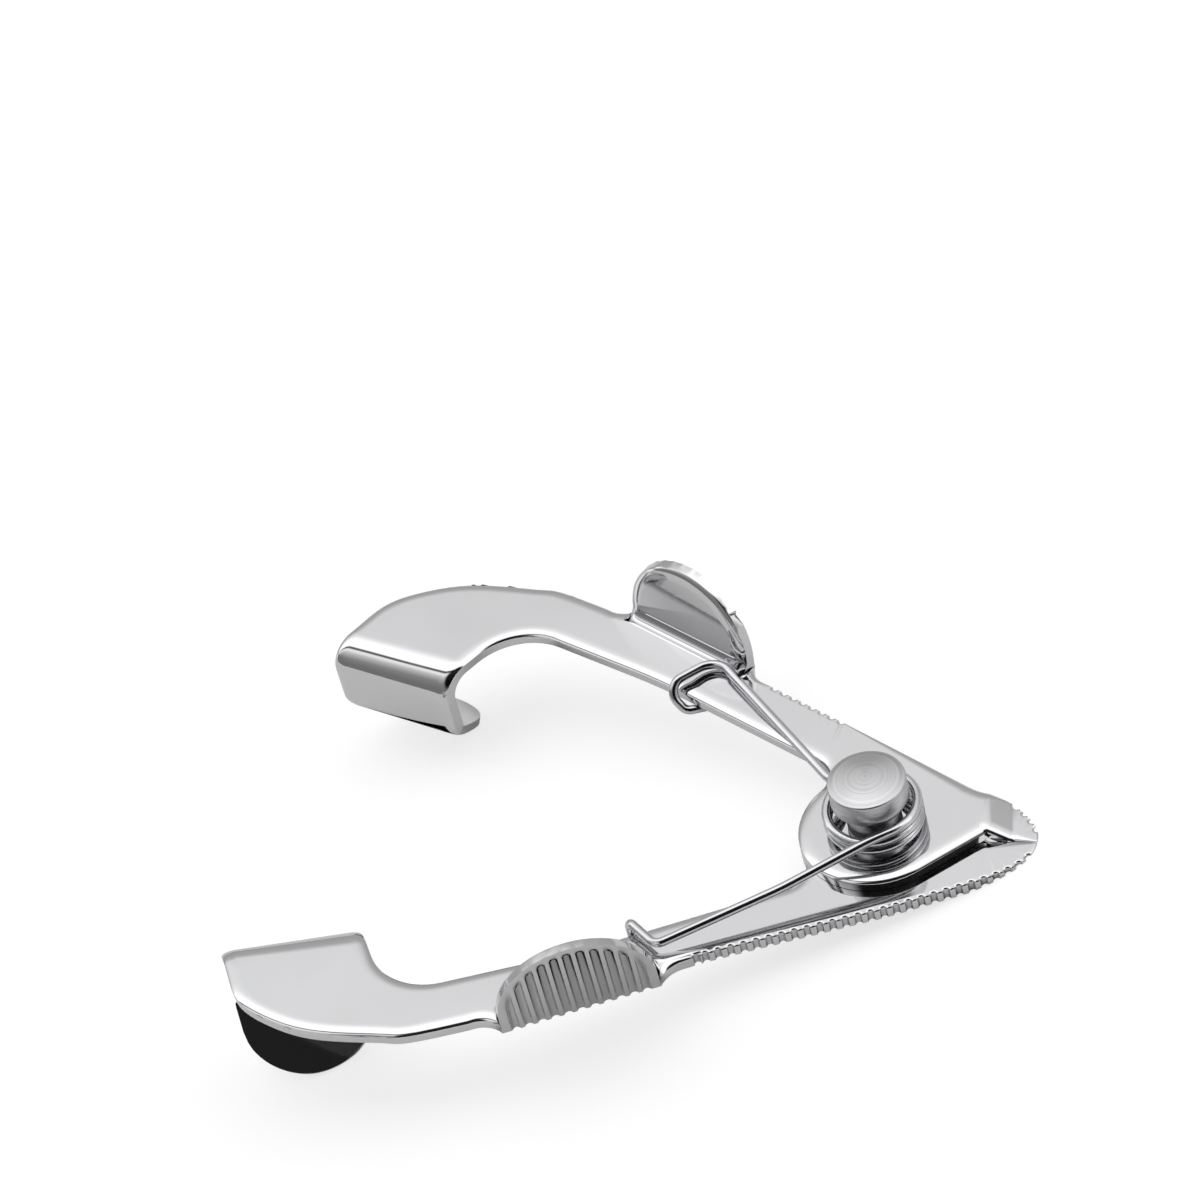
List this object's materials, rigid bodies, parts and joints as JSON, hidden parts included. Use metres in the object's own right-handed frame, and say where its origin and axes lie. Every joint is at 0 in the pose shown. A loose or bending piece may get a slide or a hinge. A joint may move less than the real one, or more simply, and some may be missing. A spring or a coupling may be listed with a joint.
{
  "type": "eye speculum",
  "caption": "Self-retaining eye speculum: two riveted steel arms with solid hooked lid blades and fluted thumb tabs, held open by a torsion spring coiled round the pivot",
  "frame": {"origin": "on the pivot axis, at the flat end of the rivet under the lower arm", "axes": "+Z along the pivot axis towards the button; -X towards the lid blades and +X towards the tails, along the line that halves the open angle; the upper arm is on the +Y side"},
  "size_m": [0.0757, 0.0574, 0.0225],
  "materials": {
    "arm_steel": "mirror-polished stainless steel sheet",
    "turned_steel": "turned stainless steel with fine concentric marks",
    "washer_steel": "plain stainless steel",
    "spring_wire": "bright drawn spring wire"
  },
  "bodies": {
    "lower_arm": {"lower_arm": "arm_steel", "pivot_button": "turned_steel", "pivot_washer": "washer_steel", "torsion_spring": "spring_wire"},
    "upper_arm": {"upper_arm": "arm_steel"}
  },
  "joints": [
    {"name": "arm_swing", "type": "hinge", "parent": "lower_arm", "child": "upper_arm", "pos_m": [0, 0, 0], "axis": [0, 0, 1], "range_deg": [0, 33.5], "stiffness_Nm_per_rad": 0.05, "springref_deg": -51.57, "deforming": ["torsion_spring"]}
  ]
}
